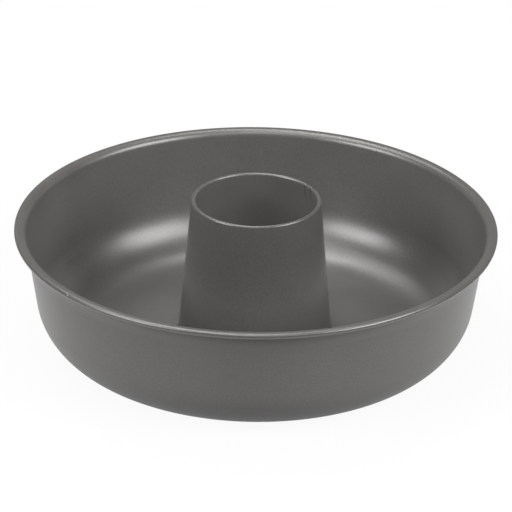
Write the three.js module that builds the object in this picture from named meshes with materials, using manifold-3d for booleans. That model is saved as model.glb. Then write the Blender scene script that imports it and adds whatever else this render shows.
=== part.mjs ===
// Savarin mould: a ring-shaped baking pan drawn from one steel sheet, with a tapered centre tube rolled
// from another. The tube's foot is rolled outwards round a short collar at the edge of the pan's hole,
// which holds the two sheets together. Millimetres, +Z up, origin on the table under the middle of the pan.
import * as THREE from 'three';
import { mergeVertices } from 'three/addons/utils/BufferGeometryUtils.js';
import Module from 'manifold-3d';

// Both sheets
const SHEET = 0.5; // thickness
const JOINT_GAP = 0.3; // clearance between the two sheets where they are rolled together
const FACETS = 64; // flats round the turned shapes

// Pan
const RIM_RADIUS = 130; // outside of the rolled rim
const PAN_HEIGHT = 68.8; // table to the top of the rolled rim
const BEAD_RADIUS = 1.6; // outside of the rim's roll
const BEAD_END = -195; // degrees round the roll where the sheet ends, under the flange
const WALL_RADIUS = 124.24; // middle of the wall, carried up to the flange
const WALL_LEAN = 8; // degrees from upright, wider at the top
const CREST_BEND = 4; // bend from the wall out to the flange
const COVE_BEND = 31; // bend from the floor up to the wall
const STAND_RADIUS = 80; // inside of the flat ring that the pan stands on
const CROWN_RISE = 2.4; // rise of the floor from the flat ring to the tube, to lift the joint off the table
const COLLAR_BEND = 0.75; // bend from the floor down to the collar
const COLLAR_DROP = 1.3; // middle of the floor sheet to the collar's lower edge

// Tube
const TUBE_HEIGHT = 83.3; // table to the top of the lip
const TUBE_TOP_RADIUS = 34.9; // outside of the lip
const TUBE_LEAN = 5.1; // degrees from upright, narrower at the top
const LIP_RADIUS = 1.1; // outside of the lip's fold
const HEM_TAPER = 1.95; // degrees between the wall and the hem, which is the folded edge inside the tube
const HEM_LEG = 32; // straight stretch of the hem, down to its edge beside the wall
const FOOT_LEG = 0.65; // straight stretch beyond the foot's roll, up beside the collar
const LAP_WIDTH = 6; // overlap of the blank's two ends
const LAP_AZIMUTH = 34; // degrees from +X towards +Y
const LAP_MARGIN = 3; // the overlap stops this far below the hem and above the joint
const LAP_BITE = 0.1; // depth to which the overlap is fused into the wall

const wasm = await Module();
wasm.setup();

const radians = THREE.MathUtils.degToRad;
const half = SHEET / 2;

// A bend in the middle line of a sheet: points round a centre, each with the direction to the line's left.
function bend(r, z, radius, from, to, steps) {
  const side = to > from ? -1 : 1;
  return Array.from({ length: steps + 1 }, (_, i) => {
    const angle = radians(THREE.MathUtils.lerp(from, to, i / steps));
    const ray = new THREE.Vector2(Math.cos(angle), Math.sin(angle));
    const point = new THREE.Vector2(r, z).addScaledVector(ray, radius);
    return { point, left: ray.multiplyScalar(side) };
  });
}

// A plain point on the middle line, with the line's heading in degrees from +r towards +z.
function station(r, z, heading) {
  const angle = radians(heading);
  return { point: new THREE.Vector2(r, z), left: new THREE.Vector2(-Math.sin(angle), Math.cos(angle)) };
}

// The closed section of a sheet that follows a middle line.
function sheetSection(line) {
  const offset = (distance) => line.map(({ point, left }) => point.clone().addScaledVector(left, distance));
  const outline = [...offset(-half), ...offset(half).reverse()];
  return [...outline, outline[0].clone()];
}

// A section turned once round the Z axis.
function turned(section) {
  return new THREE.LatheGeometry(section, FACETS).rotateX(Math.PI / 2);
}

function toSolid(geometry) {
  const bare = geometry.clone();
  bare.deleteAttribute('normal');
  bare.deleteAttribute('uv');
  const merged = mergeVertices(bare);
  const vertProperties = new Float32Array(merged.attributes.position.array);
  const triVerts = new Uint32Array(merged.index.array);
  return new wasm.Manifold(new wasm.Mesh({ numProp: 3, vertProperties, triVerts }));
}

function toGeometry(solid) {
  const mesh = solid.getMesh();
  const geometry = new THREE.BufferGeometry();
  geometry.setAttribute('position', new THREE.BufferAttribute(mesh.vertProperties, 3));
  geometry.setIndex(new THREE.BufferAttribute(mesh.triVerts, 1));
  geometry.computeVertexNormals();
  return geometry;
}

// Tube: foot, cone, lip and hem. The cone's middle line is tangent to the foot's roll and the lip's fold.
const lip = { r: TUBE_TOP_RADIUS - LIP_RADIUS, z: TUBE_HEIGHT - LIP_RADIUS, bend: LIP_RADIUS - half };
const coneSlope = Math.tan(radians(TUBE_LEAN));
const hemTurn = 180 + TUBE_LEAN + HEM_TAPER; // degrees round the fold where the hem starts

// Radius of the middle of the cone at a height.
function coneRadius(z) {
  return lip.r + lip.bend / Math.cos(radians(TUBE_LEAN)) + (lip.z - z) * coneSlope;
}

const floorHeight = CROWN_RISE + half; // middle of the floor sheet beside the tube
const footBend = SHEET + JOINT_GAP;
const footHeight = floorHeight - COLLAR_DROP;
const collarRadius = coneRadius(footHeight) + footBend / Math.cos(radians(TUBE_LEAN));

// The hem's lower edge, where the sheet ends.
function hemEdge() {
  const start = bend(lip.r, lip.z, lip.bend, hemTurn, hemTurn, 1)[0];
  const heading = hemTurn + 90;
  const down = new THREE.Vector2(Math.cos(radians(heading)), Math.sin(radians(heading)));
  const end = start.point.addScaledVector(down, HEM_LEG);
  return station(end.x, end.y, heading);
}

function tubeLine() {
  return [
    station(collarRadius + footBend, footHeight + FOOT_LEG, -90),
    ...bend(collarRadius, footHeight, footBend, 0, -90, 3),
    ...bend(collarRadius, footHeight, footBend, -90, TUBE_LEAN - 180, 3).slice(1),
    ...bend(lip.r, lip.z, lip.bend, TUBE_LEAN, 90, 3),
    ...bend(lip.r, lip.z, lip.bend, 90, hemTurn, 4).slice(1),
    hemEdge(),
  ];
}

// The inner end of the rolled blank, which lies inside the wall along the lap joint.
function lapStrip() {
  const low = floorHeight + LAP_MARGIN;
  const high = hemEdge().point.y - LAP_MARGIN;
  const face = (z) => coneRadius(z) - half / Math.cos(radians(TUBE_LEAN));
  const corner = (z, depth) => new THREE.Vector2(face(z) + depth, z);
  const band = turned([
    corner(low, -SHEET),
    corner(low, LAP_BITE),
    corner(high, LAP_BITE),
    corner(high, -SHEET),
    corner(low, -SHEET),
  ]);
  const cutter = new THREE.BoxGeometry(TUBE_TOP_RADIUS, LAP_WIDTH, TUBE_HEIGHT);
  cutter.translate(TUBE_TOP_RADIUS, 0, TUBE_HEIGHT / 2);
  cutter.rotateZ(radians(LAP_AZIMUTH));
  return toSolid(band).intersect(toSolid(cutter));
}

function tubeGeometry() {
  const shell = toSolid(turned(sheetSection(tubeLine())));
  return toGeometry(shell.add(lapStrip()));
}

// Pan: collar, crowned floor, flat ring, cove, wall, flange and rolled rim, all in one sheet.
function panLine() {
  const collarCentre = { r: collarRadius + COLLAR_BEND, z: floorHeight - COLLAR_BEND };
  const run = STAND_RADIUS - collarCentre.r;
  const fall = half - collarCentre.z;
  const crownHeading = THREE.MathUtils.radToDeg(
    Math.atan2(fall, run) - Math.asin(COLLAR_BEND / Math.hypot(run, fall)),
  );

  const bead = { r: RIM_RADIUS - BEAD_RADIUS, z: PAN_HEIGHT - BEAD_RADIUS, bend: BEAD_RADIUS - half };
  const flangeHeight = PAN_HEIGHT - half;
  const lean = radians(WALL_LEAN);
  const coveHeight = half + COVE_BEND;
  const wallFoot = WALL_RADIUS - (flangeHeight - coveHeight) * Math.tan(lean);
  const coveRadius = wallFoot - COVE_BEND / Math.cos(lean);
  const crestRadius = WALL_RADIUS - CREST_BEND * Math.tan(lean) + CREST_BEND / Math.cos(lean);

  return [
    station(collarRadius, footHeight, 90),
    ...bend(collarCentre.r, collarCentre.z, COLLAR_BEND, 180, 90 + crownHeading, 3),
    station(STAND_RADIUS, half, crownHeading / 2),
    ...bend(coveRadius, coveHeight, COVE_BEND, -90, -WALL_LEAN, 7),
    ...bend(crestRadius, flangeHeight - CREST_BEND, CREST_BEND, 180 - WALL_LEAN, 90, 4),
    ...bend(bead.r, bead.z, bead.bend, 90, 0, 3),
    ...bend(bead.r, bead.z, bead.bend, 0, BEAD_END, 7).slice(1),
  ];
}

// A finished piece of the mould in its satin non-stick coating.
function coatedPiece(name, geometry, color) {
  const coating = new THREE.MeshStandardMaterial({ color, roughness: 0.42, metalness: 0.35 });
  const mesh = new THREE.Mesh(geometry, coating);
  mesh.name = name;
  return mesh;
}

const mould = new THREE.Group();
mould.name = 'savarin_mould';
mould.add(coatedPiece('ring_pan', turned(sheetSection(panLine())), 0x5c5c59));
mould.add(coatedPiece('centre_tube', tubeGeometry(), 0x555552));

export default mould;
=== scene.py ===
"""Savarin mould in grey non-stick coating: the looks of its ring pan and its centre tube.

Both pieces are steel sheets turned about +Z. Each starts as a middle line in the (radius, height) half
plane, made of round bends and the straight runs between them. It gets the sheet's thickness on both sides
and is carried once round the axis. Metres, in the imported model's frame: +Z up, origin on the table under
the middle of the pan.
"""
import logging
import math
from dataclasses import dataclass
from enum import Enum
from typing import Any, Sequence

import bpy
import numpy as np
from mathutils import Matrix, Vector


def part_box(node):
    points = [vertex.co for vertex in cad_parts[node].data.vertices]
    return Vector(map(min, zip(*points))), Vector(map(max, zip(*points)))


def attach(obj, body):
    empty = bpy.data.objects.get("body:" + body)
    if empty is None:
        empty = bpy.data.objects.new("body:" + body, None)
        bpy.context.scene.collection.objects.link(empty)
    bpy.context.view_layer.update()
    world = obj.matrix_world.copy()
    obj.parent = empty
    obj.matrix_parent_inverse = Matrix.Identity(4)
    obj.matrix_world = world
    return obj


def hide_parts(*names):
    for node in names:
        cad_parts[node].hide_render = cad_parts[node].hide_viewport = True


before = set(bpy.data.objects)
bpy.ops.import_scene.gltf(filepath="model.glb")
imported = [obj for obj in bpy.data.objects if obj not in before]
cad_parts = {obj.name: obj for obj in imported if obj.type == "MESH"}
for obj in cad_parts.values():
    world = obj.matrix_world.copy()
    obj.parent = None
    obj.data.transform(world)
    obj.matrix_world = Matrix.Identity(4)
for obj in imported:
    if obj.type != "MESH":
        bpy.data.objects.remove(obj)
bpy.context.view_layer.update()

log = logging.getLogger("savarin_mould")

Array = np.ndarray
Pair = tuple[float, float]
Place = tuple[float, float, float]
Colour = tuple[float, float, float, float]

MM = 0.001
BODY = "root"

BEND_ERROR = 0.004 * MM  # how far a bend's facets may lie from the true arc
RUN_SPACING = 5.0 * MM  # distance between the rings on a straight run
EDGE_STEPS = 5  # rings round the rounded cut edge of a sheet
WEAR_SPREAD = 0.6 * MM  # how far rubbing fades out beside a worn bend
FINE_TURN = 36000  # steps in which the crowding of the azimuths is summed
NOISE_MEAN = 0.5  # mean of a noise texture
MIDDLE_TONE = 0.5  # half-way between a coating's deep and pale colours
ORIGIN: Place = (0.0, 0.0, 0.0)
WHITE: Colour = (1.0, 1.0, 1.0, 1.0)


class Face(Enum):
    """Face of a sheet, seen along its middle line."""

    RIGHT = -1.0
    LEFT = 1.0


class Ray(Enum):
    """Kinds of ray that the table and the surroundings tell apart."""

    CAMERA = "Is Camera Ray"
    GLOSSY = "Is Glossy Ray"
    TRANSMISSION = "Is Transmission Ray"


def bell(distance: Array, width: float) -> Array:
    """Gives exp(-(distance / width) squared), which is 1 at no distance."""
    return np.exp(-np.square(distance / width))


def smooth_step(value: Array, start: float, end: float) -> Array:
    """Rises from 0 at start to 1 at end as 3 t squared - 2 t cubed."""
    share = np.clip((value - start) / (end - start), 0.0, 1.0)
    return share * share * (3.0 - 2.0 * share)


@dataclass(frozen=True)
class Line:
    """Middle line of a sheet in the (radius, height) half plane.

    Attributes:
        points: Position of each point, one row each.
        left: Unit direction to the line's left at each point.
        wear: How far handling has rubbed the sheet, positive on its left face and negative on its right.
    """

    points: Array
    left: Array
    wear: Array

    @classmethod
    def bend(cls, centre: Pair, radius: float, start: float, end: float, wear: float = 0.0) -> "Line":
        """Round bend: centre + radius (cos a, sin a), with a from start to end.

        Args:
            centre: Radius and height of the bend's centre.
            radius: Radius of the middle line.
            start: First angle in degrees, from the +radius direction towards +height.
            end: Last angle in degrees.
            wear: Rubbing of the outside of the bend, from 0 to 1.

        Returns:
            The bend, with as many points as keep its facets within BEND_ERROR of the arc.
        """
        step = math.degrees(2.0 * math.acos(1.0 - BEND_ERROR / radius))
        steps = math.ceil(abs(end - start) / step)
        angle = np.radians(np.linspace(start, end, steps + 1))
        ray = np.stack([np.cos(angle), np.sin(angle)], axis=1)
        convex = Face.RIGHT if end > start else Face.LEFT
        return cls(
            points=np.asarray(centre) + radius * ray,
            left=convex.value * ray,
            wear=np.full(len(ray), convex.value * wear),
        )

    @classmethod
    def run(cls, start: Array, end: Array) -> "Line":
        """Straight run: start + t (end - start), with t from 0 to 1.

        Args:
            start: Radius and height where it starts.
            end: Radius and height where it ends.

        Returns:
            The run, with its points RUN_SPACING apart or closer.
        """
        length = np.linalg.norm(end - start)
        steps = max(1, math.ceil(length / RUN_SPACING))
        share = np.linspace(0.0, 1.0, steps + 1)[:, None]
        along = (end - start) / length
        left = np.tile([-along[1], along[0]], (steps + 1, 1))
        return cls(points=start + share * (end - start), left=left, wear=np.zeros(steps + 1))

    @classmethod
    def chain(cls, start: Pair, *bends: "Line", end: Pair | None = None) -> "Line":
        """Joins bends by the straight runs between them, and fades the wear along the line.

        Args:
            start: Radius and height where the line starts.
            *bends: Bends in order, each tangent to the runs beside it.
            end: Radius and height where the line ends, if it runs on after the last bend.

        Returns:
            The whole line, with each point once. Its wear at a point is the mean over the line, weighted
            by a bell of the distance.
        """
        parts: list[Line] = []
        reached = np.asarray(start)
        for part in bends:
            if np.linalg.norm(part.points[0] - reached) > BEND_ERROR:
                parts.append(cls.run(reached, part.points[0]))
            parts.append(part)
            reached = part.points[-1]
        if end is not None:
            parts.append(cls.run(reached, np.asarray(end)))
        points = np.concatenate([p.points for p in parts])
        left = np.concatenate([p.left for p in parts])
        wear = np.concatenate([p.wear for p in parts])
        gaps = np.linalg.norm(np.diff(points, axis=0), axis=1)
        fresh = np.concatenate([[True], gaps > BEND_ERROR])
        along = np.concatenate([[0.0], np.cumsum(gaps)])[fresh]
        weight = bell(along[:, None] - along[None, :], WEAR_SPREAD) * np.gradient(along)
        faded = weight @ wear[fresh] / weight.sum(axis=1)
        return cls(points=points[fresh], left=left[fresh], wear=faded)


@dataclass(frozen=True)
class Section:
    """Closed outline of a sheet in the (radius, height) half plane, counter-clockwise.

    Attributes:
        points: Position of each point, one row each.
        left: Unit direction to the middle line's left at each point.
        side: -1 on the right face, 1 on the left face, and between them round the cut edges.
        wear: How far handling has rubbed the sheet, from 0 to 1.
    """

    points: Array
    left: Array
    side: Array
    wear: Array

    @classmethod
    def of(cls, line: Line, half: float) -> "Section":
        """Sheet round a middle line: right face forwards, round edge, left face backwards, round edge.

        Args:
            line: The middle line.
            half: Half of the sheet's thickness.

        Returns:
            The outline, p + half (side left + lead forward), where side runs from -1 to 1 and back, and
            lead is the bulge of the round edges.
        """
        count = len(line.points)
        order = np.arange(count)
        swing = np.linspace(0.0, math.pi, EDGE_STEPS + 2)[1:-1]
        first = np.zeros(EDGE_STEPS, int)
        last = np.full(EDGE_STEPS, count - 1)
        index = np.concatenate([order, last, order[::-1], first])
        flat = np.zeros(count)
        right_face = flat + Face.RIGHT.value
        left_face = flat + Face.LEFT.value
        side = np.concatenate([right_face, -np.cos(swing), left_face, np.cos(swing)])
        lead = np.concatenate([flat, np.sin(swing), flat, -np.sin(swing)])
        left = line.left[index]
        forward = np.stack([left[:, 1], -left[:, 0]], axis=1)
        points = line.points[index] + half * (side[:, None] * left + lead[:, None] * forward)
        wear = np.clip(side * line.wear[index], 0.0, 1.0)
        return cls(points=points, left=left, side=side, wear=wear)


@dataclass(frozen=True)
class Spot:
    """Azimuth at which the turned surface needs finer columns.

    Attributes:
        azimuth: Degrees from +X towards +Y.
        width: Degrees over which the columns crowd.
        gain: How many times closer the columns are there.
    """

    azimuth: float
    width: float
    gain: float


def wrapped(azimuth: Array, centre: float) -> Array:
    """Gives azimuth - centre in degrees, brought between -180 and 180."""
    return (azimuth - centre + 180.0) % 360.0 - 180.0


def crowded_azimuths(count: int, spots: Sequence[Spot]) -> Array:
    """Azimuths once round in degrees: the inverse of the running sum of 1 + sum of gain times bell.

    Args:
        count: Number of azimuths.
        spots: Where they crowd.

    Returns:
        The rising azimuths, from 0 up to just under 360.
    """
    fine = np.linspace(0.0, 360.0, FINE_TURN + 1)
    density = 1.0 + sum(s.gain * bell(wrapped(fine, s.azimuth), s.width) for s in spots)
    running = np.concatenate([[0.0], np.cumsum((density[1:] + density[:-1]) / 2.0)])
    return np.interp(np.linspace(0.0, running[-1], count, endpoint=False), running, fine)


class Value:
    """Shader value: arithmetic on it adds Math nodes to its graph."""

    def __init__(self, graph: "Graph", socket: bpy.types.NodeSocket) -> None:
        """Wraps an output socket of the graph."""
        self.graph = graph
        self.socket = socket

    def _math(self, operation: str, first: Any, second: Any) -> "Value":
        """Adds a Math node for first and second."""
        node = self.graph.node("ShaderNodeMath", {"operation": operation}, {0: first, 1: second})
        return Value(self.graph, node.outputs[0])

    def __add__(self, other: Any) -> "Value":
        """Gives self + other."""
        return self._math("ADD", self, other)

    def __radd__(self, other: Any) -> "Value":
        """Gives other + self."""
        return self._math("ADD", other, self)

    def __sub__(self, other: Any) -> "Value":
        """Gives self - other."""
        return self._math("SUBTRACT", self, other)

    def __rsub__(self, other: Any) -> "Value":
        """Gives other - self."""
        return self._math("SUBTRACT", other, self)

    def __mul__(self, other: Any) -> "Value":
        """Gives self times other."""
        return self._math("MULTIPLY", self, other)

    def __rmul__(self, other: Any) -> "Value":
        """Gives other times self."""
        return self._math("MULTIPLY", other, self)

    def __or__(self, other: Any) -> "Value":
        """Gives the larger of self and other."""
        return self._math("MAXIMUM", self, other)

    def __ror__(self, other: Any) -> "Value":
        """Gives the larger of other and self."""
        return self._math("MAXIMUM", other, self)

    def ramp(self, start: float, end: float) -> "Value":
        """Goes smoothly from 0 where self is start to 1 where it is end, and stays between them."""
        node = self.graph.node(
            "ShaderNodeMapRange",
            {"interpolation_type": "SMOOTHSTEP"},
            {"Value": self, "From Min": start, "From Max": end},
        )
        return Value(self.graph, node.outputs["Result"])


class Graph:
    """Node tree of a material or world that is being written."""

    def __init__(self, tree: bpy.types.NodeTree) -> None:
        """Empties the tree."""
        self.tree = tree
        tree.nodes.clear()

    def node(
        self,
        kind: str,
        settings: dict[str, Any] | None = None,
        sockets: dict[int | str, Any] | None = None,
    ) -> bpy.types.Node:
        """Adds a node.

        Args:
            kind: The node's type.
            settings: The node's own properties, set first.
            sockets: Input name or index, and the number, colour, Value or output socket that it gets.

        Returns:
            The new node.
        """
        made = self.tree.nodes.new(kind)
        for name, setting in (settings or {}).items():
            setattr(made, name, setting)
        for key, given in (sockets or {}).items():
            source = given.socket if isinstance(given, Value) else given
            if isinstance(source, bpy.types.NodeSocket):
                self.tree.links.new(source, made.inputs[key])
            else:
                made.inputs[key].default_value = source
        return made

    def place(self) -> bpy.types.NodeSocket:
        """Object coordinates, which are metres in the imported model's frame."""
        return self.node("ShaderNodeTexCoord").outputs["Object"]

    def distance(self, place: bpy.types.NodeSocket, point: Sequence[float]) -> Value:
        """Distance of the coordinates from a fixed point."""
        node = self.node("ShaderNodeVectorMath", {"operation": "DISTANCE"}, {0: place, 1: point})
        return Value(self, node.outputs["Value"])

    def noise(self, place: bpy.types.NodeSocket, size: float, detail: float) -> Value:
        """Noise about a mean of 0, with spots of about the given size in metres."""
        sockets = {"Vector": place, "Scale": 1.0 / size, "Detail": detail}
        node = self.node("ShaderNodeTexNoise", {}, sockets)
        return Value(self, node.outputs["Fac"]) - NOISE_MEAN

    def cells(self, place: bpy.types.NodeSocket, size: float) -> tuple[Value, Value]:
        """Cells of about the given size in metres.

        Args:
            place: Coordinates that the cells fill.
            size: Width of a cell in metres.

        Returns:
            Distance from the middle of the cell, as a share of its size, and its chance from 0 to 1.
        """
        node = self.node("ShaderNodeTexVoronoi", {}, {"Vector": place, "Scale": 1.0 / size})
        parts = self.node("ShaderNodeSeparateColor", {}, {"Color": node.outputs["Color"]})
        return Value(self, node.outputs["Distance"]), Value(self, parts.outputs["Red"])

    def attribute(self, name: str) -> Value:
        """A value that the mesh carries at its points."""
        return Value(self, self.node("ShaderNodeAttribute", {"attribute_name": name}).outputs["Fac"])

    def blend(self, share: Value, first: Any, second: Any) -> bpy.types.NodeSocket:
        """Colour that goes from first to second as share goes from 0 to 1."""
        node = self.node("ShaderNodeMix", {"data_type": "RGBA"}, {"Factor": share, 6: first, 7: second})
        return node.outputs[2]

    def seen_by(self, *rays: Ray) -> Value:
        """1 for rays of the given kinds, and 0 for others."""
        path = self.node("ShaderNodeLightPath")
        seen = Value(self, path.outputs[rays[0].value])
        for ray in rays[1:]:
            seen = seen | Value(self, path.outputs[ray.value])
        return seen


@dataclass(frozen=True)
class Coating:
    """Satin non-stick coating, sprayed on and baked: fine grain, pale flecks and a slightly uneven gloss.

    Attributes:
        name: The material's name.
        deep: Colour between the grains.
        pale: Colour of the grains.
        roughness: Mean roughness.
        ior: Index of refraction, raised by the fine metal flakes in the coating.
        painted_lift_share: Share of painted_lift_colour that is painted in as light where shade falls.
        cloud_size: Width of the faint clouds.
        cloud_detail: Octaves of finer noise in the clouds.
        cloud_tone: How far the clouds shift the tone.
        cloud_gloss: How far the clouds shift the roughness.
        grain_size: Width of the grains.
        grain_detail: Octaves of finer noise in the grain.
        grain_tone: How far the grain shifts the tone.
        grain_gloss: How far the grain shifts the roughness.
        grain_height: Height of the grain.
        peel_size: Width of the waves that the spray leaves.
        peel_detail: Octaves of finer noise in the waves.
        peel_height: Height of the waves, as a share of the grain's.
        nib_size: Width of the cells that nibs are scattered over.
        nib_radius: Radius of a nib, as a share of its cell.
        nib_core: Share of its radius within which a nib has its full colour.
        nib_chance: Chances of a cell between which nibs begin.
        nib_height: Height of a nib, as a share of the grain's.
        wear_gloss: How far wear takes the roughness down.
        wear_tone: How far wear shifts the tone.
        wear_polish: Share of the grain's height that wear takes off.
        scrape_edge: Scrape times grain between which steel begins to show.
        scrape_share: Share of steel_colour where the coating is scraped.
        painted_lift_colour: Paler colour painted in as light inside the tube and under the rim.
        nib_colour: Colour of the nibs.
        steel_colour: Colour of the bare sheet.
    """

    name: str
    deep: Colour
    pale: Colour
    roughness: float
    ior: float
    painted_lift_share: float
    cloud_size: float = 45.0 * MM
    cloud_detail: float = 3.0
    cloud_tone: float = 0.6
    cloud_gloss: float = 0.10
    grain_size: float = 0.68 * MM
    grain_detail: float = 2.0
    grain_tone: float = 1.7
    grain_gloss: float = 0.12
    grain_height: float = 0.014 * MM
    peel_size: float = 2.2 * MM
    peel_detail: float = 1.0
    peel_height: float = 0.5
    nib_size: float = 9.0 * MM
    nib_radius: float = 0.035
    nib_core: float = 0.6
    nib_chance: Pair = (0.82, 0.83)
    nib_height: float = 2.0
    wear_gloss: float = 0.04
    wear_tone: float = 0.04
    wear_polish: float = 0.75
    scrape_edge: Pair = (0.45, 0.6)
    scrape_share: float = 0.6
    painted_lift_colour: Colour = (0.2, 0.195, 0.185, 1.0)
    nib_colour: Colour = (0.36, 0.36, 0.35, 1.0)
    steel_colour: Colour = (0.27, 0.27, 0.26, 1.0)

    def material(self) -> bpy.types.Material:
        """Builds the coating.

        The tone between deep and pale is MIDDLE_TONE plus the clouds and the grain. Nibs are small round
        spots in a few scattered cells. Where the mesh is worn, the tone is paler and the surface smoother.
        Painted light lifts shade with a share of painted_lift_colour. Where it is scraped, steel shows
        between grains.

        Returns:
            The material.
        """
        material = bpy.data.materials.new(self.name)
        material.use_nodes = True
        graph = Graph(material.node_tree)
        place = graph.place()
        cloud = graph.noise(place, self.cloud_size, self.cloud_detail)
        grain = graph.noise(place, self.grain_size, self.grain_detail)
        peel = graph.noise(place, self.peel_size, self.peel_detail)
        distance, chance = graph.cells(place, self.nib_size)
        spot = distance.ramp(self.nib_radius, self.nib_core * self.nib_radius)
        nib = spot * chance.ramp(*self.nib_chance)
        wear = graph.attribute("wear")
        painted_lift = graph.attribute("painted_lift")
        scraped = (graph.attribute("scrape") * (grain + NOISE_MEAN)).ramp(*self.scrape_edge)

        tone = MIDDLE_TONE + self.cloud_tone * cloud + self.grain_tone * grain + self.wear_tone * wear
        colour = graph.blend(tone, self.deep, self.pale)
        # Painted light: a share of the paler colour lifts the shade inside the tube and under the rim.
        colour = graph.blend(painted_lift * self.painted_lift_share, colour, self.painted_lift_colour)
        colour = graph.blend(scraped * self.scrape_share, colour, self.steel_colour)
        colour = graph.blend(nib, colour, self.nib_colour)
        gloss = self.cloud_gloss * cloud + self.grain_gloss * grain - self.wear_gloss * wear
        roughness = self.roughness + gloss
        relief = (grain + self.peel_height * peel) * (1.0 - self.wear_polish * wear)
        height = relief + self.nib_height * nib
        bump = graph.node("ShaderNodeBump", {}, {"Distance": self.grain_height, "Height": height})
        shader = graph.node(
            "ShaderNodeBsdfPrincipled",
            {},
            {
                "Base Color": colour,
                "Roughness": roughness,
                "IOR": self.ior,
                "Normal": bump.outputs["Normal"],
            },
        )
        graph.node("ShaderNodeOutputMaterial", {}, {"Surface": shader.outputs["BSDF"]})
        return material


@dataclass(frozen=True)
class TurnedSheet:
    """A sheet-metal piece turned about +Z, with what both pieces have in common.

    Attributes:
        name: The piece's name.
        node: The model's node that it stands for.
        slot: Name of a material slot; not used.
        finish: Its coating.
        sheet: Thickness of the sheet.
        columns: Number of columns round the axis.
    """

    name: str
    node: str
    slot: str
    finish: Coating
    sheet: float
    columns: int

    @property
    def half(self) -> float:
        """Half of the sheet's thickness."""
        return self.sheet / 2.0

    def line(self) -> Line:
        """Middle line of the sheet."""
        raise NotImplementedError

    def spots(self) -> list[Spot]:
        """Azimuths that need finer columns."""
        return []

    def shift(self, section: Section, azimuths: Array) -> Array:
        """How far each point lies to the left of the plain turned sheet, a row for each outline point."""
        return np.zeros((len(section.points), len(azimuths)))

    def wear(self, section: Section, azimuths: Array) -> Array:
        """How far handling has rubbed each point, from 0 to 1, a row for each outline point."""
        return np.tile(section.wear[:, None], (1, len(azimuths)))

    def scrape(self, section: Section, azimuths: Array) -> Array:
        """How far what the piece stands on has scraped each point, from 0 to 1."""
        return np.zeros((len(section.points), len(azimuths)))

    def painted_lift(self, section: Section, azimuths: Array) -> Array:
        """How far painted light lifts the shade at each point, from 0 to 1."""
        return np.zeros((len(section.points), len(azimuths)))

    def mesh(self) -> bpy.types.Mesh:
        """Turns the section about +Z.

        P(s, a) = (r cos a, r sin a, z), where (r, z) is the section's point s moved to the left by
        shift(s, a). The grid closes on itself both ways, so the surface has no seam and no pole.

        Returns:
            The mesh, with the wear, scrape and painted light of its coating at each point.
        """
        section = Section.of(self.line(), self.half)
        azimuths = crowded_azimuths(self.columns, self.spots())
        shift = self.shift(section, azimuths)[:, :, None]
        moved = section.points[:, None, :] + shift * section.left[:, None, :]
        radius = moved[..., 0]
        height = moved[..., 1]
        turn = np.radians(azimuths)
        points = np.stack([radius * np.cos(turn), radius * np.sin(turn), height], axis=-1)
        rings, columns = radius.shape
        here = np.arange(rings * columns).reshape(rings, columns)
        beside = np.roll(here, -1, axis=1)
        ahead = np.roll(here, -1, axis=0)
        faces = np.stack([here, beside, np.roll(beside, -1, axis=0), ahead], axis=-1)
        mesh = bpy.data.meshes.new(self.name)
        mesh.from_pydata(points.reshape(-1, 3), [], faces.reshape(-1, 4))
        # The third attribute is painted light, which lifts shade in the coating's colour.
        for name, amount in (("wear", self.wear), ("scrape", self.scrape), ("painted_lift", self.painted_lift)):
            attribute = mesh.attributes.new(name, "FLOAT", "POINT")
            attribute.data.foreach_set("value", amount(section, azimuths).ravel().astype(np.float32))
        mesh.shade_smooth()
        mesh.update()
        return mesh

    def build(self) -> bpy.types.Object:
        """Makes the piece, coats it and puts it in the place of its node.

        Returns:
            The finished piece.
        """
        piece = bpy.data.objects.new(self.name, self.mesh())
        bpy.context.scene.collection.objects.link(piece)
        piece.data.materials.append(self.finish.material())
        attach(piece, BODY)
        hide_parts(self.node)
        log.info("%s: %d faces in place of %s", piece.name, len(piece.data.polygons), self.node)
        return piece


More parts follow.
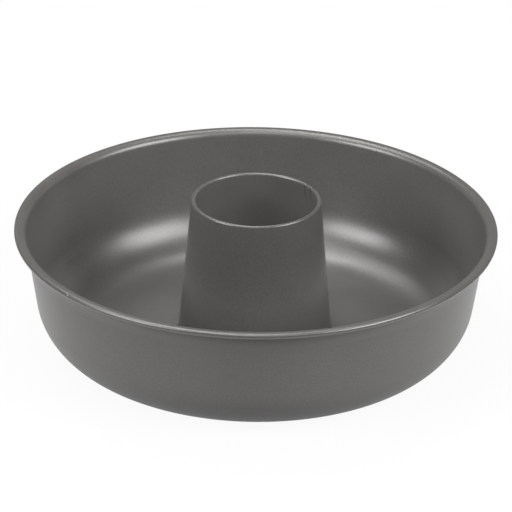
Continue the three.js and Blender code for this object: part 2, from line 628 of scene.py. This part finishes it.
@dataclass(frozen=True)
class CentreTube(TurnedSheet):
    """Cone rolled from a flat blank: lap joint up its side, hem folded inwards and foot rolled outwards.

    Attributes:
        height: Table to the top of the lip.
        top_radius: Outside of the lip.
        lean: Degrees from upright, narrower at the top.
        lip_radius: Outside of the lip's fold.
        hem_taper: Degrees between the wall and the hem, which is the folded edge inside the tube.
        hem_leg: Straight stretch of the hem, down to its edge beside the wall.
        hem_edge_sheet: Thickness to which the hem is pressed out at its edge.
        foot_leg: Straight stretch beyond the foot's roll, up beside the pan's collar.
        floor_height: Middle of the pan's floor beside the tube.
        collar_drop: From there down to the collar's lower edge, where the foot is rolled.
        joint_gap: Clearance between the two sheets.
        lap_inner: Azimuth of the blank's end that lies inside.
        lap_outer: Azimuth of the blank's end that lies outside.
        lap_ease: Degrees beyond the outer end over which the inner sheet comes out to the wall again.
        lap_edge: Degrees over which a cut end rounds off.
        lap_close: Degrees before an end within which lap_rise of the drop on the lip is made up again.
        lap_rise: Share of a drop on the lip that is made up again close to the end.
        lip_tooth: Drop at each end of the lap on the lip, which is pressed flatter than the wall.
        tooth_fade: Distances below the lip's fold over which the drop fades out on the hem.
        lap_foot: Distances from the table, and from the hem's edge, over which the lap fades out.
        spot_width: Degrees over which the columns crowd at an end of the lap.
        spot_gain: How many times closer the columns are there.
    """

    height: float
    top_radius: float = 34.9 * MM
    lean: float = 5.1
    lip_radius: float = 1.1 * MM
    hem_taper: float = 1.95
    hem_leg: float = 32.0 * MM
    hem_edge_sheet: float = 0.1 * MM
    foot_leg: float = 0.65 * MM
    floor_height: float = 2.65 * MM
    collar_drop: float = 1.3 * MM
    joint_gap: float = 0.3 * MM
    lap_inner: float = 28.7
    lap_outer: float = 38.3
    lap_ease: float = 12.0
    lap_edge: float = 0.6
    lap_close: float = 1.5
    lap_rise: float = 0.6
    lip_tooth: float = 0.5 * MM
    tooth_fade: Pair = (2.0 * MM, 12.0 * MM)
    lap_foot: Pair = (4.0 * MM, 8.0 * MM)
    spot_width: float = 0.8
    spot_gain: float = 30.0

    @property
    def lip_centre(self) -> Pair:
        """Centre of the lip's fold."""
        return self.top_radius - self.lip_radius, self.height - self.lip_radius

    @property
    def lip_bend(self) -> float:
        """Radius of the middle of the lip's fold."""
        return self.lip_radius - self.half

    @property
    def foot_height(self) -> float:
        """Height of the centre of the foot's roll, which is the lower edge of the pan's collar."""
        return self.floor_height - self.collar_drop

    @property
    def foot_bend(self) -> float:
        """Radius of the middle of the foot's roll, round the collar."""
        return self.sheet + self.joint_gap

    @property
    def collar_radius(self) -> float:
        """Middle of the pan's collar: the cone, carried down to the foot, and the foot's roll."""
        lean = math.radians(self.lean)
        radius, height = self.lip_centre
        bends = (self.lip_bend + self.foot_bend) / math.cos(lean)
        return radius + bends + (height - self.foot_height) * math.tan(lean)

    @property
    def hem_edge(self) -> Pair:
        """Lower edge of the hem, where the sheet ends beside the wall."""
        turn = math.radians(self.lean + self.hem_taper)
        radius, height = self.lip_centre
        return (
            radius - self.lip_bend * math.cos(turn) + self.hem_leg * math.sin(turn),
            height - self.lip_bend * math.sin(turn) - self.hem_leg * math.cos(turn),
        )

    def line(self) -> Line:
        """Foot's leg and roll, cone, lip's fold and hem, from the foot's outside to the hem's edge."""
        foot = (self.collar_radius, self.foot_height)
        hem_turn = 180.0 + self.lean + self.hem_taper
        return Line.chain(
            (foot[0] + self.foot_bend, foot[1] + self.foot_leg),
            Line.bend(foot, self.foot_bend, 0.0, self.lean - 180.0),
            Line.bend(self.lip_centre, self.lip_bend, self.lean, hem_turn, wear=1.0),
            end=self.hem_edge,
        )

    def spots(self) -> list[Spot]:
        """The two ends of the blank, where the surface steps by the sheet's thickness."""
        return [Spot(end, self.spot_width, self.spot_gain) for end in (self.lap_inner, self.lap_outer)]

    def on_hem(self, section: Section) -> Array:
        """1 on the hem, high up where the line's left is away from the axis, and 0 on wall and foot."""
        high = section.points[:, 1] > self.height / 2.0
        return high * smooth_step(section.left[:, 0], 0.0, 1.0)

    def on_lip(self, section: Section) -> Array:
        """1 on the lip, fading to 0 on the wall over the lip's radius and on the hem over tooth_fade."""
        below = self.lip_centre[1] - section.points[:, 1]
        on_wall = 1.0 - smooth_step(below, 0.0, self.lip_radius)
        on_hem = self.on_hem(section) * (1.0 - smooth_step(below, *self.tooth_fade))
        return np.maximum(on_wall, on_hem)

    def tooth(self, azimuths: Array, end: float, ease: float) -> Array:
        """1 just before the given end of the lap, back to 0 over ease degrees, and 0 behind the end."""
        before = -wrapped(azimuths, end)
        near = self.lap_rise * smooth_step(before, self.lap_edge, self.lap_close)
        far = (1.0 - self.lap_rise) * smooth_step(before, self.lap_close, ease)
        return smooth_step(before, 0.0, self.lap_edge) * (1.0 - near - far)

    def shift(self, section: Section, azimuths: Array) -> Array:
        """Lap joint: the sheet lies one thickness further in where it passes behind the other end.

        The inner face steps in at the inner end, and the outer face at the outer end. Both come back out
        over lap_ease. The lip is pressed flatter: it drops by lip_tooth at each end and comes up again.
        The joint fades out above the foot and under the hem. The hem gets thinner towards its edge, where
        hem_edge_sheet is left.

        Args:
            section: Outline of the sheet.
            azimuths: Columns, in degrees.

        Returns:
            The shift of each point of the section at each azimuth.
        """
        to_inner = wrapped(azimuths, self.lap_inner)
        to_outer = wrapped(azimuths, self.lap_outer)
        eased = 1.0 - smooth_step(to_outer, 0.0, self.lap_ease)
        inner = smooth_step(to_inner, 0.0, self.lap_edge) * eased
        outer = smooth_step(to_outer, 0.0, self.lap_edge) * eased
        left = (section.side[:, None] + 1.0) / 2.0
        step = self.sheet * (left * inner + (1.0 - left) * outer)
        heights = section.points[:, 1]
        low, high = self.lap_foot
        free = smooth_step(heights, low, high) * smooth_step(self.hem_edge[1] - heights, low, high)
        teeth = self.tooth(azimuths, self.lap_outer, self.lap_outer - self.lap_inner)
        teeth = teeth + self.tooth(azimuths, self.lap_inner, self.lap_ease)
        drop = self.lip_tooth * teeth * self.on_lip(section)[:, None]
        pressed = np.clip((self.lip_centre[1] - heights) / self.hem_leg, 0.0, 1.0) * self.on_hem(section)
        thinner = (self.sheet - self.hem_edge_sheet) * pressed[:, None] * (1.0 - left)
        return step * free[:, None] + drop + thinner

    def painted_lift(self, section: Section, azimuths: Array) -> Array:
        """Painted light that lifts the shade inside the tube: 1 on hem and inner wall, and 0 outside."""
        inside = np.maximum(self.on_hem(section), np.clip(section.side, 0.0, 1.0))
        return np.tile(inside[:, None], (1, len(azimuths)))


@dataclass(frozen=True)
class RingPan(TurnedSheet):
    """Pan drawn from one sheet: collar, crowned floor, flat ring, cove, wall, flange and rolled rim.

    Attributes:
        rim_radius: Outside of the rolled rim.
        height: Table to the top of the rolled rim.
        collar_radius: Middle of the collar round the tube's foot.
        collar_foot: Height of the collar's lower edge.
        floor_height: Middle of the floor beside the tube.
        bead_radius: Outside of the rim's roll.
        bead_end: Degrees round the roll where the sheet ends, under the flange.
        wall_radius: Middle of the wall, carried up to the flange.
        wall_lean: Degrees from upright, wider at the top.
        crest_bend: Bend from the wall out to the flange.
        cove_bend: Bend from the floor up to the wall.
        stand_radius: Inside of the flat ring that the pan stands on.
        crease_bend: Bend from the crowned floor to the flat ring.
        collar_bend: Bend from the floor down to the collar.
        knock_azimuth: Where the roll has a small knock.
        knock_height: Height of the middle of the knock.
        knock_width: Half-width of the knock.
        knock_depth: Depth of the knock.
        scrape_height: The underside is scraped up to this height.
        painted_lift_fade: Distances below the top of the rim over which the painted light under it fades
            out.
        painted_lift_tilt: Sine of the downward tilt at which the painted light under the rim is full.
        spot_width: Degrees over which the columns crowd at the knock.
        spot_gain: How many times closer the columns are there.
    """

    rim_radius: float
    height: float
    collar_radius: float
    collar_foot: float
    floor_height: float
    bead_radius: float = 1.6 * MM
    bead_end: float = -195.0
    wall_radius: float = 124.24 * MM
    wall_lean: float = 8.0
    crest_bend: float = 4.0 * MM
    cove_bend: float = 31.0 * MM
    stand_radius: float = 80.0 * MM
    crease_bend: float = 60.0 * MM
    collar_bend: float = 0.75 * MM
    knock_azimuth: float = 222.4
    knock_height: float = 68.4 * MM
    knock_width: float = 0.9 * MM
    knock_depth: float = 0.3 * MM
    scrape_height: float = 0.5 * MM
    painted_lift_fade: Pair = (4.0 * MM, 14.0 * MM)
    painted_lift_tilt: float = 0.1
    spot_width: float = 0.8
    spot_gain: float = 14.0

    @property
    def bead_centre(self) -> Pair:
        """Centre of the rim's roll."""
        return self.rim_radius - self.bead_radius, self.height - self.bead_radius

    def line(self) -> Line:
        """Collar to rolled rim, from the tube outwards."""
        collar = (self.collar_radius + self.collar_bend, self.floor_height - self.collar_bend)
        run = self.stand_radius - collar[0]
        fall = self.half - collar[1]
        crown = math.degrees(math.atan2(fall, run) - math.asin(self.collar_bend / math.hypot(run, fall)))
        crease = (
            self.stand_radius + self.crease_bend * math.tan(math.radians(-crown) / 2.0),
            self.half + self.crease_bend,
        )
        lean = math.radians(self.wall_lean)
        flange = self.height - self.half
        cove_height = self.half + self.cove_bend
        wall_foot = self.wall_radius - (flange - cove_height) * math.tan(lean)
        cove = (wall_foot - self.cove_bend / math.cos(lean), cove_height)
        crest_radius = self.wall_radius + self.crest_bend * (1.0 / math.cos(lean) - math.tan(lean))
        crest = (crest_radius, flange - self.crest_bend)
        return Line.chain(
            (self.collar_radius, self.collar_foot),
            Line.bend(collar, self.collar_bend, 180.0, 90.0 + crown),
            Line.bend(crease, self.crease_bend, crown - 90.0, -90.0),
            Line.bend(cove, self.cove_bend, -90.0, -self.wall_lean),
            Line.bend(crest, self.crest_bend, 180.0 - self.wall_lean, 90.0),
            Line.bend(self.bead_centre, self.bead_radius - self.half, 90.0, self.bead_end, wear=1.0),
        )

    def spots(self) -> list[Spot]:
        """The knock in the rim."""
        return [Spot(self.knock_azimuth, self.spot_width, self.spot_gain)]

    def shift(self, section: Section, azimuths: Array) -> Array:
        """Knock: the roll is pressed in by knock_depth times a bell of the distance from its middle."""
        radius, height = self.bead_centre
        lift = self.knock_height - height
        middle = np.asarray([radius + math.sqrt(self.bead_radius**2 - lift**2), self.knock_height])
        across = np.linalg.norm(section.points - middle, axis=1)[:, None]
        along = self.rim_radius * np.radians(wrapped(azimuths, self.knock_azimuth))
        return -self.knock_depth * bell(across, self.knock_width) * bell(along, self.knock_width)

    def scrape(self, section: Section, azimuths: Array) -> Array:
        """The flat ring that the pan stands on is scraped: 1 at the table, 0 from scrape_height up."""
        below = np.clip(-section.side, 0.0, 1.0)
        ring = below * (1.0 - smooth_step(section.points[:, 1], 0.0, self.scrape_height))
        return np.tile(ring[:, None], (1, len(azimuths)))

    def painted_lift(self, section: Section, azimuths: Array) -> Array:
        """Painted light lifting shade under the rim's roll and the wall just below: 1 there, 0 lower down.
        """
        down = smooth_step(-section.side * section.left[:, 1], 0.0, self.painted_lift_tilt)
        near = 1.0 - smooth_step(self.height - section.points[:, 1], *self.painted_lift_fade)
        return np.tile((down * near)[:, None], (1, len(azimuths)))


@dataclass(frozen=True)
class SoftBox:
    """Rectangular soft light that faces the mould.

    Attributes:
        name: The lamp's name.
        azimuth: Degrees from the viewer's side of the mould, towards the viewer's right.
        elevation: Degrees above the table.
        width: Width across.
        height: Height across.
        radiance: Brightness of its face, where 1 is white.
        distance: From the middle of the mould.
    """

    name: str
    azimuth: float
    elevation: float
    width: float
    height: float
    radiance: float
    distance: float = 2.5

    def build(self, target: Vector) -> bpy.types.Object:
        """Makes the lamp, which faces the target and isn't seen by the camera.

        Args:
            target: The point that it faces.

        Returns:
            The lamp.
        """
        lamp = bpy.data.lights.new(self.name, "AREA")
        lamp.shape = "RECTANGLE"
        lamp.size = self.width
        lamp.size_y = self.height
        lamp.energy = self.radiance * math.pi * self.width * self.height
        around = math.radians(self.azimuth)
        above = math.radians(self.elevation)
        flat = math.cos(above)
        out = Vector((math.sin(around) * flat, -math.cos(around) * flat, math.sin(above)))
        made = bpy.data.objects.new(self.name, lamp)
        made.location = target + self.distance * out
        made.rotation_euler = (-out).to_track_quat("-Z", "Y").to_euler()
        made.visible_camera = False
        bpy.context.scene.collection.objects.link(made)
        return made


@dataclass(frozen=True)
class Studio:
    """White table and white surroundings under soft boxes.

    Attributes:
        boxes: The soft boxes.
        target: The point that the soft boxes face.
        floor_radius: Radius of the table.
        floor_drop: Gap between the table and the underside of the pan.
        floor_rings: Rings of faces in the table.
        floor_columns: Columns of faces in the table.
        sheet_colour: Colour of the white sheet under the mould. To the camera it covers the whole table.
        sheet_edge: Radii between which the sheet ends in reflections.
        sheet_glow: Share of plain white in the sheet, in reflections.
        shade_centre: Middle of the shaded spot on the sheet, on the viewer's side.
        shade_edge: Distances from there between which the shade ends.
        shade: Share of the sheet's brightness that the shade takes in reflections.
        under_edge: Radii between which the mould's own shade on the sheet ends.
        under_shade: Share of the sheet's brightness that the mould's own shade takes in reflections.
        backdrop_glow: Strength of the white backdrop in reflections.
        backdrop_top: Sines of the elevations between which the backdrop ends upwards.
        backdrop_side: Cosines of the angles from straight behind between which it ends sideways.
        dim_colour: Colour of the table beyond the sheet in reflections, and for the light it throws up.
        floor_glow: Share of plain white in the table, for the rays that come straight from the camera.
        fill: Strength of the dim room round the soft boxes.
    """

    boxes: tuple[SoftBox, ...]
    target: Vector
    floor_radius: float = 3.0
    floor_drop: float = 0.2 * MM
    floor_rings: int = 12
    floor_columns: int = 96
    sheet_colour: Colour = (0.75, 0.75, 0.75, 1.0)
    sheet_edge: Pair = (0.28, 0.32)
    sheet_glow: float = 0.85
    shade_centre: Place = (0.0, -0.195, 0.0)
    shade_edge: Pair = (0.03, 0.1)
    shade: float = 0.36
    under_edge: Pair = (0.1, 0.145)
    under_shade: float = 0.5
    backdrop_glow: float = 0.28
    backdrop_top: Pair = (0.25, 0.5)
    backdrop_side: Pair = (0.0, 0.4)
    dim_colour: Colour = (0.02, 0.02, 0.02, 1.0)
    floor_glow: float = 0.94
    fill: float = 0.01

    def build(self) -> None:
        """Makes the table, the surroundings and the soft boxes, and sets the plain view of colours."""
        self.floor()
        self.surroundings()
        for box in self.boxes:
            box.build(self.target)
            log.info("%s: radiance %.1f", box.name, box.radiance)
        bpy.context.scene.view_settings.view_transform = "Standard"

    def floor(self) -> bpy.types.Object:
        """Makes the table: P(t, a) = (R t squared cos a, R t squared sin a, -drop), with t from 0 to 1.

        Returns:
            The table.
        """
        share = np.square(np.linspace(0.0, 1.0, self.floor_rings + 1))[1:, None]
        turn = np.linspace(0.0, math.tau, self.floor_columns, endpoint=False)
        flat = np.full((self.floor_rings, self.floor_columns), -self.floor_drop)
        radius = self.floor_radius * share
        rings = np.stack([radius * np.cos(turn), radius * np.sin(turn), flat], axis=-1).reshape(-1, 3)
        here = np.arange(len(rings)).reshape(self.floor_rings, self.floor_columns)
        beside = np.roll(here, -1, axis=1)
        bands = np.stack([here[:-1], here[1:], beside[1:], beside[:-1]], axis=-1).reshape(-1, 4)
        mesh = bpy.data.meshes.new("table")
        mesh.from_pydata(rings, [], [here[0].tolist(), *bands.tolist()])
        floor = bpy.data.objects.new("table", mesh)
        bpy.context.scene.collection.objects.link(floor)
        floor.data.materials.append(self.floor_finish())
        return floor

    def floor_finish(self) -> bpy.types.Material:
        """White table: a dull surface that keeps shadows, lifted towards white, and open from below.

        Reflections show no more of it than the white sheet under the mould, and it throws up little light.

        Returns:
            The material.
        """
        material = bpy.data.materials.new("white_table")
        material.use_nodes = True
        graph = Graph(material.node_tree)
        place = graph.place()
        away = graph.distance(place, ORIGIN)
        aside = graph.distance(place, self.shade_centre)
        shaded = self.shade * (1.0 - aside.ramp(*self.shade_edge))
        under = self.under_shade * (1.0 - away.ramp(*self.under_edge))
        sheet = (1.0 - away.ramp(*self.sheet_edge)) * (1.0 - shaded) * (1.0 - under)
        seen = graph.seen_by(Ray.CAMERA, Ray.TRANSMISSION)
        mirrored = graph.seen_by(Ray.GLOSSY) * sheet
        colour = graph.blend(seen | mirrored, self.dim_colour, self.sheet_colour)
        dull = graph.node("ShaderNodeBsdfDiffuse", {}, {"Color": colour})
        white = graph.node("ShaderNodeEmission")
        glow = seen * self.floor_glow | mirrored * self.sheet_glow
        top = graph.node("ShaderNodeMixShader", {}, {0: glow, 1: dull.outputs[0], 2: white.outputs[0]})
        below = graph.node("ShaderNodeNewGeometry").outputs["Backfacing"]
        clear = graph.node("ShaderNodeBsdfTransparent")
        both = graph.node("ShaderNodeMixShader", {}, {0: below, 1: top.outputs[0], 2: clear.outputs[0]})
        graph.node("ShaderNodeOutputMaterial", {}, {"Surface": both.outputs[0]})
        return material

    def surroundings(self) -> None:
        """Makes the world: white to the camera, a dim room, and a low white backdrop in reflections."""
        world = bpy.data.worlds.new("white_surroundings")
        bpy.context.scene.world = world
        world.use_nodes = True
        graph = Graph(world.node_tree)
        fill = graph.node("ShaderNodeBackground", {}, {"Color": WHITE, "Strength": self.fill})
        white = graph.node("ShaderNodeBackground", {}, {"Color": WHITE, "Strength": 1.0})
        heading = graph.node("ShaderNodeTexCoord").outputs["Generated"]
        axes = graph.node("ShaderNodeSeparateXYZ", {}, {"Vector": heading})
        low = 1.0 - Value(graph, axes.outputs["Z"]).ramp(*self.backdrop_top)
        behind = Value(graph, axes.outputs["Y"]).ramp(*self.backdrop_side)
        mirrored = graph.seen_by(Ray.GLOSSY) * low * behind * self.backdrop_glow
        seen = graph.seen_by(Ray.CAMERA, Ray.TRANSMISSION) | mirrored
        mix = graph.node("ShaderNodeMixShader", {}, {0: seen, 1: fill.outputs[0], 2: white.outputs[0]})
        graph.node("ShaderNodeOutputWorld", {}, {"Surface": mix.outputs[0]})


@dataclass(frozen=True)
class Viewpoint:
    """Camera of the picture.

    Attributes:
        distance: From the eye to the middle of the rim.
        elevation: Degrees above the table.
        aim_side: The camera faces a point this far to the right of the axis.
        aim_height: Height of that point.
        rim_height: Height of the middle of the rim.
        roll: Degrees by which the camera leans to its left.
        lens: Focal length in millimetres.
        sensor: Width of the sensor in millimetres.
    """

    distance: float = 1.65175
    elevation: float = 25.57
    aim_side: float = 0.22 * MM
    aim_height: float = 49.2 * MM
    rim_height: float = 67.2 * MM
    roll: float = 0.763
    lens: float = 215.55
    sensor: float = 36.0

    def build(self) -> bpy.types.Object:
        """Makes the camera and sets it as the scene's camera.

        Returns:
            The camera.
        """
        above = math.radians(self.elevation)
        away = self.distance * math.cos(above)
        rise = self.distance * math.sin(above)
        eye = Vector((0.0, -away, self.rim_height + rise))
        aim = Vector((self.aim_side, 0.0, self.aim_height)) - eye
        camera = bpy.data.cameras.new("camera")
        camera.lens = self.lens
        camera.sensor_width = self.sensor
        made = bpy.data.objects.new("camera", camera)
        roll = Matrix.Rotation(math.radians(self.roll), 3, "Z")
        turn = aim.to_track_quat("-Z", "Y").to_matrix() @ roll
        made.matrix_world = Matrix.Translation(eye) @ turn.to_4x4()
        bpy.context.scene.collection.objects.link(made)
        bpy.context.scene.camera = made
        return made


SHEET = 0.5 * MM

PAN_COATING = Coating(
    "pan_coating",
    deep=(0.0796, 0.0772, 0.0730, 1.0),
    pale=(0.1415, 0.1374, 0.1298, 1.0),
    roughness=0.34,
    ior=1.8,
    painted_lift_share=0.9,
)
TUBE_COATING = Coating(
    "tube_coating",
    deep=(0.0731, 0.0711, 0.0672, 1.0),
    pale=(0.1302, 0.1263, 0.1194, 1.0),
    roughness=0.34,
    ior=1.8,
    painted_lift_share=0.34,
)

SOFT_BOXES = (
    SoftBox("right_box", azimuth=61.3, elevation=33.6, width=1.56, height=1.38, radiance=8.0),
    SoftBox("left_box", azimuth=-60.9, elevation=29.2, width=1.36, height=1.03, radiance=8.7),
    SoftBox("top_strip", azimuth=-67.0, elevation=74.2, width=5.0, height=1.2, radiance=2.6),
    SoftBox("back_strip", azimuth=-172.0, elevation=70.9, width=1.54, height=0.565, radiance=7.0),
)


def main() -> None:
    """Builds the camera, the tube, the pan and the studio in order."""
    logging.basicConfig(level=logging.INFO, format="%(name)s: %(message)s")
    Viewpoint().build()
    tube = CentreTube(
        name="coated_centre_tube",
        node="centre_tube",
        slot="tube_coating",
        finish=TUBE_COATING,
        sheet=SHEET,
        columns=400,
        height=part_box("centre_tube")[1].z,
    )
    tube.build()
    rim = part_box("ring_pan")[1]
    pan = RingPan(
        name="coated_ring_pan",
        node="ring_pan",
        slot="pan_coating",
        finish=PAN_COATING,
        sheet=SHEET,
        columns=360,
        rim_radius=rim.x,
        height=rim.z,
        collar_radius=tube.collar_radius,
        collar_foot=tube.foot_height,
        floor_height=tube.floor_height,
    )
    pan.build()
    Studio(boxes=SOFT_BOXES, target=Vector((0.0, 0.0, rim.z / 2.0))).build()


if __name__ == "__main__":
    main()
